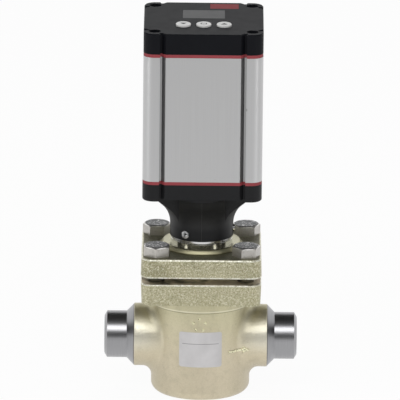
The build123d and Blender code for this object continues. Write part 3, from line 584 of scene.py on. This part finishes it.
class Growth:
    """A Geometry Nodes tree under construction, with a named input for each of its sizes."""

    def __init__(self, name, sizes):
        self.tree = bpy.data.node_groups.new(name, "GeometryNodeTree")
        self.sizes = sizes
        new_socket = self.tree.interface.new_socket
        for label, size in sizes.items():
            kind = "NodeSocketInt" if isinstance(size, int) else "NodeSocketFloat"
            new_socket(label, in_out="INPUT", socket_type=kind)
        new_socket("Geometry", in_out="OUTPUT", socket_type="NodeSocketGeometry")
        self.entry = self.tree.nodes.new("NodeGroupInput")

    def size(self, label):
        return self.entry.outputs[label]

    def node(self, kind, inputs):
        """Adds a node with values or links for its sockets, and gives its first output."""
        made = self.tree.nodes.new(kind)
        for name, value in inputs.items():
            if isinstance(value, bpy.types.NodeSocket):
                self.tree.links.new(value, made.inputs[name])
            else:
                made.inputs[name].default_value = value
        return made.outputs[0]

    def at_points(self, points, instance):
        """The same shape at each of some points."""
        inputs = {"Points": points, "Instance": instance}
        return self.node("GeometryNodeInstanceOnPoints", inputs)

    def piece(self, name, geometry, finish, move):
        """Runs the tree and gives its result as a plain mesh object, moved into place."""
        real = self.node("GeometryNodeRealizeInstances", {0: geometry})
        painted = self.node("GeometryNodeSetMaterial", {"Geometry": real, "Material": finish})
        exit_node = self.tree.nodes.new("NodeGroupOutput")
        self.tree.links.new(painted, exit_node.inputs[0])
        piece = add_object(name, bpy.data.meshes.new(name))
        modifier = piece.modifiers.new("growth", "NODES")
        modifier.node_group = self.tree
        for item in self.tree.interface.items_tree:
            if item.in_out == "INPUT":
                modifier[item.identifier] = self.sizes[item.name]
        seen = piece.evaluated_get(bpy.context.evaluated_depsgraph_get())
        mesh = bpy.data.meshes.new_from_object(seen)
        piece.modifiers.clear()
        piece.data = mesh
        mesh.name = name
        mesh.transform(move)
        return piece


def thread(name, radius, pitch, turns, low):
    """Ridges round an upright connector, low being the middle of the lowest one."""
    ridge_share = 0.36    # of the pitch
    sizes = {"radius": radius, "pitch": pitch, "ridge": ridge_share * pitch, "turns": turns}
    growth = Growth("thread", sizes)
    circle = "GeometryNodeCurvePrimitiveCircle"
    path = growth.node(circle, {"Resolution": 48, "Radius": growth.size("radius")})
    section = growth.node(circle, {"Resolution": 6, "Radius": growth.size("ridge")})
    ridge = growth.node("GeometryNodeCurveToMesh", {"Curve": path, "Profile Curve": section})
    step = growth.node("ShaderNodeCombineXYZ", {"Z": growth.size("pitch")})
    places = growth.node("GeometryNodeMeshLine", {"Count": growth.size("turns"), "Offset": step})
    ridges = growth.at_points(places, ridge)
    return growth.piece(name, ridges, finishes["nickel"], Matrix.Translation(low))


def ring_points(growth):
    """The points of a ring, as many and as wide as the tree's inputs say."""
    inputs = {"Vertices": growth.size("count"), "Radius": growth.size("circle")}
    return growth.node("GeometryNodeMeshCircle", inputs)


def contact_pins(name, circle, count, low):
    """Contact pins in a ring, low being the middle of the ring."""
    sizes = {"circle": circle, "count": count, "radius": 0.56 * mm, "length": 2.9 * mm}
    growth = Growth("contacts", sizes)
    ring = ring_points(growth)
    pin = growth.node(
        "GeometryNodeMeshCylinder",
        {"Vertices": 16, "Radius": growth.size("radius"), "Depth": growth.size("length")},
    )
    pins = growth.at_points(ring, pin)
    return growth.piece(name, pins, finishes["bronze"], Matrix.Translation(low))


def cast_pips(name, circle, count, middle, tilt):
    """Small flat pips in an upright ring, for casting on the front of the body."""
    flatness = 0.65
    growth = Growth("pips", {"circle": circle, "count": count, "radius": 1.05 * mm})
    ring = ring_points(growth)
    ball = growth.node(
        "GeometryNodeMeshUVSphere",
        {"Segments": 16, "Rings": 10, "Radius": growth.size("radius")},
    )
    pip = growth.node("GeometryNodeTransform", {"Geometry": ball, "Scale": (1.0, 1.0, flatness)})
    pips = growth.at_points(ring, pip)
    upright = Matrix.Rotation(radians(90), 4, "X") @ Matrix.Rotation(tilt, 4, "Z")
    return growth.piece(name, pips, finishes["glint_cast"], Matrix.Translation(middle) @ upright)


def lay_on_front(piece, node):
    """Wraps a flat upright piece, made at y = 0, round the front of a CAD node."""
    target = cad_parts[node].data
    corners = [vertex.co.copy() for vertex in target.vertices]
    target.calc_loop_triangles()
    triangles = [tuple(face.vertices) for face in target.loop_triangles]
    tree = BVHTree.FromPolygons(corners, triangles)
    clear_of_box = cad_box[0][1] - 20 * mm
    ahead = Vector((0, 1, 0))
    for vertex in piece.data.vertices:
        start = Vector((vertex.co.x, clear_of_box, vertex.co.z))
        hit = tree.ray_cast(start, ahead)[0]
        vertex.co.y += hit.y
    piece.data.update()


def shade_smooth(mesh):
    for polygon in mesh.polygons:
        polygon.use_smooth = True


def finished_piece(name, form, finish):
    """Closes a bmesh and gives it as an object with one finish."""
    mesh = bpy.data.meshes.new(name)
    form.to_mesh(mesh)
    form.free()
    mesh.materials.append(finish)
    return add_object(name, mesh)


def flow_arrow(name, tail, tip, z, half_shaft, half_head, head):
    """A raised arrow, for casting on the front of the outlet collar. It lies flat at y = 0."""
    root = 0.4 * mm
    proud = 0.55 * mm
    rounding = 0.3 * mm
    longest_edge = 0.9 * mm    # so that it can follow the collar
    most_cuts = 6
    outline = [
        (tail, z - half_shaft), (tip - head, z - half_shaft), (tip - head, z - half_head),
        (tip, z),
        (tip - head, z + half_head), (tip - head, z + half_shaft), (tail, z + half_shaft),
    ]
    form = bmesh.new()
    base = form.faces.new([form.verts.new((x, root, height)) for x, height in outline])
    raised = bmesh.ops.extrude_face_region(form, geom=[base])["geom"]
    for corner in raised:
        if isinstance(corner, bmesh.types.BMVert):
            corner.co.y = -proud
    bmesh.ops.recalc_face_normals(form, faces=form.faces[:])
    upper_edges = [edge for edge in form.edges if all(v.co.y < 0 for v in edge.verts)]
    bmesh.ops.bevel(
        form, geom=upper_edges, offset=rounding, segments=2, affect="EDGES", profile=0.5
    )
    bmesh.ops.triangulate(form, faces=form.faces[:])
    for _ in range(most_cuts):
        long_edges = [edge for edge in form.edges if edge.calc_length() > longest_edge]
        if not long_edges:
            break
        bmesh.ops.subdivide_edges(form, edges=long_edges, cuts=1)
        bmesh.ops.triangulate(form, faces=form.faces[:])
    return finished_piece(name, form, finishes["glint_cast"])


def turned_ring(name, profile, finish):
    """A ring turned about the valve's own axis from a closed profile of radius and height."""
    sides = 96
    form = bmesh.new()
    rings = []
    for index in range(sides):
        turn = radians(360 * index / sides)
        rings.append([form.verts.new((r * cos(turn), r * sin(turn), z)) for r, z in profile])
    count = len(profile)
    for index in range(sides):
        here = rings[index]
        there = rings[(index + 1) % sides]
        for step in range(count):
            after = (step + 1) % count
            form.faces.new((here[step], there[step], there[after], here[after]))
    bmesh.ops.recalc_face_normals(form, faces=form.faces[:])
    return finished_piece(name, form, finish)


def seam_ridge(name, half_width, low, high, proud):
    """The thin upright ridge that the mould leaves on the front of the neck."""
    root = 0.1 * mm
    steps = 60
    section = ((-half_width, root), (0.0, -proud), (half_width, root))
    form = bmesh.new()
    rows = []
    for index in range(steps + 1):
        height = low + (high - low) * index / steps
        rows.append([form.verts.new((x, y, height)) for x, y in section])
    for below, above in zip(rows, rows[1:]):
        for first, second in ((0, 1), (1, 2), (2, 0)):
            form.faces.new((below[first], below[second], above[second], above[first]))
    form.faces.new(rows[0])
    form.faces.new(rows[-1][::-1])
    bmesh.ops.recalc_face_normals(form, faces=form.faces[:])
    return finished_piece(name, form, finishes["seam"])


connector_low, connector_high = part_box("supply_connector")
connector_x = abs(connector_low[0] + connector_high[0]) / 2
connector_y = (connector_low[1] + connector_high[1]) / 2
connector_foot = connector_low[2]
lowest_ridge = Vector((0, 0, 0.9 * mm))      # over the connector's foot
contacts_middle = Vector((0, 0, 1.6 * mm))
for label, side, pins in (("supply", -1, 4), ("control", 1, 8)):
    foot = Vector((side * connector_x, connector_y, connector_foot))
    ridges = thread(
        label + "_thread", radius=5.9 * mm, pitch=1.0 * mm, turns=8, low=foot + lowest_ridge
    )
    contacts = contact_pins(
        label + "_contacts", circle=2.6 * mm, count=pins, low=foot + contacts_middle
    )
    for piece in (ridges, contacts):
        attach(piece, "valve")

pips = cast_pips(
    "cast_pips", circle=4.6 * mm, count=5,
    middle=Vector((-0.8 * mm, 0, 57.6 * mm)), tilt=radians(90),
)
arrow = flow_arrow(
    "flow_arrow", tail=20.4 * mm, tip=35.4 * mm, z=35.6 * mm,
    half_shaft=0.9 * mm, half_head=2.7 * mm, head=5.0 * mm,
)
for piece in (pips, arrow):
    lay_on_front(piece, "valve_body")
    shade_smooth(piece.data)
    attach(piece, "valve")

hub_r = 28.0 * mm
shoulder_profile = [
    (hub_r - 0.5 * mm, bonnet_top),
    (hub_r + 1.9 * mm, bonnet_top),
    (hub_r + 1.8 * mm, bonnet_top + 0.5 * mm),
    (hub_r + 0.25 * mm, hub_top - 0.75 * mm),
    (hub_r - 0.3 * mm, hub_top - 0.35 * mm),
]
shoulder = turned_ring("hub_shoulder", shoulder_profile, finishes["bright_zinc"])
shade_smooth(shoulder.data)
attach(shoulder, "valve")

seam = seam_ridge(
    "neck_seam", half_width=0.22 * mm, low=neck_low + 0.3 * mm, high=neck_high - 3 * mm,
    proud=0.12 * mm,
)
lay_on_front(seam, "lower_housing")
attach(seam, "valve")

# Studio: pale floor, soft lights, and dark cards that only metal mirrors


def stage_sheet(name, corners, finish):
    """A flat sheet of the studio, which isn't part of the valve."""
    mesh = bpy.data.meshes.new(name)
    mesh.from_pydata(corners, [], [(0, 1, 2, 3)])
    mesh.materials.append(finish)
    sheet = add_object(name, mesh)
    return sheet


def level(half_width, front, back, height):
    """Corners of a level sheet."""
    left, right = -half_width, half_width
    return [
        (left, front, height), (right, front, height), (right, back, height), (left, back, height),
    ]


def upright(start, end, height):
    """Corners of an upright sheet over a line on the floor."""
    return [(*start, 0.0), (*end, 0.0), (*end, height), (*start, height)]


def background_rays(finish):
    """1 for rays that see the pale background: the camera's, and those metal or glass turns."""
    rays = finish.node("LightPath").socket.node.outputs
    camera_ray = Value(finish, rays["Is Camera Ray"])
    glossy_ray = Value(finish, rays["Is Glossy Ray"])
    through_ray = Value(finish, rays["Is Transmission Ray"])
    return camera_ray.math("MINIMUM", camera_ray + glossy_ray + through_ray, 1.0)


pale = new_finish("pale_floor")
lit = pale.node("BsdfDiffuse", inputs={"Color": grey(0.80)})
white = pale.node("Emission", inputs={"Color": grey(1.0), "Strength": 1.0})
white_share = 0.94    # the rest keeps the valve's shadow
shaded = pale.node("MixShader", inputs={0: background_rays(pale) * white_share, 1: lit, 2: white})
pale.node("OutputMaterial", inputs={"Surface": shaded})
half_floor = 15.0
stage_sheet("floor", level(half_floor, -half_floor, half_floor, 0.0), pale.owner)

dark = new_finish("dark_card")
dark_light = dark.node("Emission", inputs={"Color": grey(0.03)})
dark.node("OutputMaterial", inputs={"Surface": dark_light})
near_left = (-2.6, -2.6)
near_right = (2.6, -2.6)
far_left = (-2.6, 0.6)
far_right = (2.6, 0.6)
cards = {
    "front_card": upright(near_left, near_right, 1.75),
    "left_card": upright(near_left, far_left, 4.4),
    "right_card": upright(near_right, far_right, 4.4),
    "overhead_card": level(3.0, -1.6, 3.6, 2.6),
}
for name, corners in cards.items():
    card = stage_sheet(name, corners, dark.owner)
    card.visible_camera = False
    card.visible_diffuse = False
    card.visible_transmission = False
    card.visible_shadow = False

world = bpy.data.worlds.new("studio")
bpy.context.scene.world = world
sky = Finish(world)
sky_colour = sky.mix(background_rays(sky), grey(0.45), grey(1.0))
background = sky.node("Background", inputs={"Color": sky_colour, "Strength": 1.0})
sky.node("OutputWorld", inputs={"Surface": background})

valve_middle = Vector((0, 0, 0.14))


def soft_light(name, azimuth, elevation, distance, width, height, power):
    """A rectangular light that faces the middle of the valve. Azimuth 0 is the camera's side."""
    light = bpy.data.lights.new(name, "AREA")
    light.shape = "RECTANGLE"
    light.size = width
    light.size_y = height
    light.energy = power
    lamp = add_object(name, light)
    turn = radians(azimuth)
    lift = radians(elevation)
    outward = Vector((sin(turn) * cos(lift), -cos(turn) * cos(lift), sin(lift)))
    lamp.location = valve_middle + distance * outward
    lamp.rotation_euler = (valve_middle - lamp.location).to_track_quat("-Z", "Y").to_euler()
    return lamp


soft_light(
    "key_light", azimuth=-8, elevation=44, distance=2.0, width=2.4, height=0.75, power=19
)
soft_light(
    "left_strip", azimuth=-60, elevation=8, distance=1.2, width=0.18, height=0.9, power=1.6
)
soft_light(
    "right_strip", azimuth=52, elevation=8, distance=1.2, width=0.18, height=0.9, power=1.5
)
rear_light = soft_light(
    "rear_light", azimuth=180, elevation=62, distance=1.8, width=1.4, height=0.7, power=7
)
rear_light.visible_glossy = False

# Camera

view_distance = 6.5
view_elevation = radians(16.0)
view_roll = radians(0.6)
view_target = Vector((-1.4, 0, 140.7)) * mm
camera = add_object("camera", bpy.data.cameras.new("camera"))
camera.data.lens = 816
camera.data.clip_end = 60
toward = Vector((0, cos(view_elevation), -sin(view_elevation)))
facing = toward.to_track_quat("-Z", "Y").to_matrix().to_4x4()
standing = Matrix.Translation(view_target - view_distance * toward)
camera.matrix_world = standing @ facing @ Matrix.Rotation(view_roll, 4, "Z")
bpy.context.scene.camera = camera
bpy.context.scene.view_settings.view_transform = "Standard"
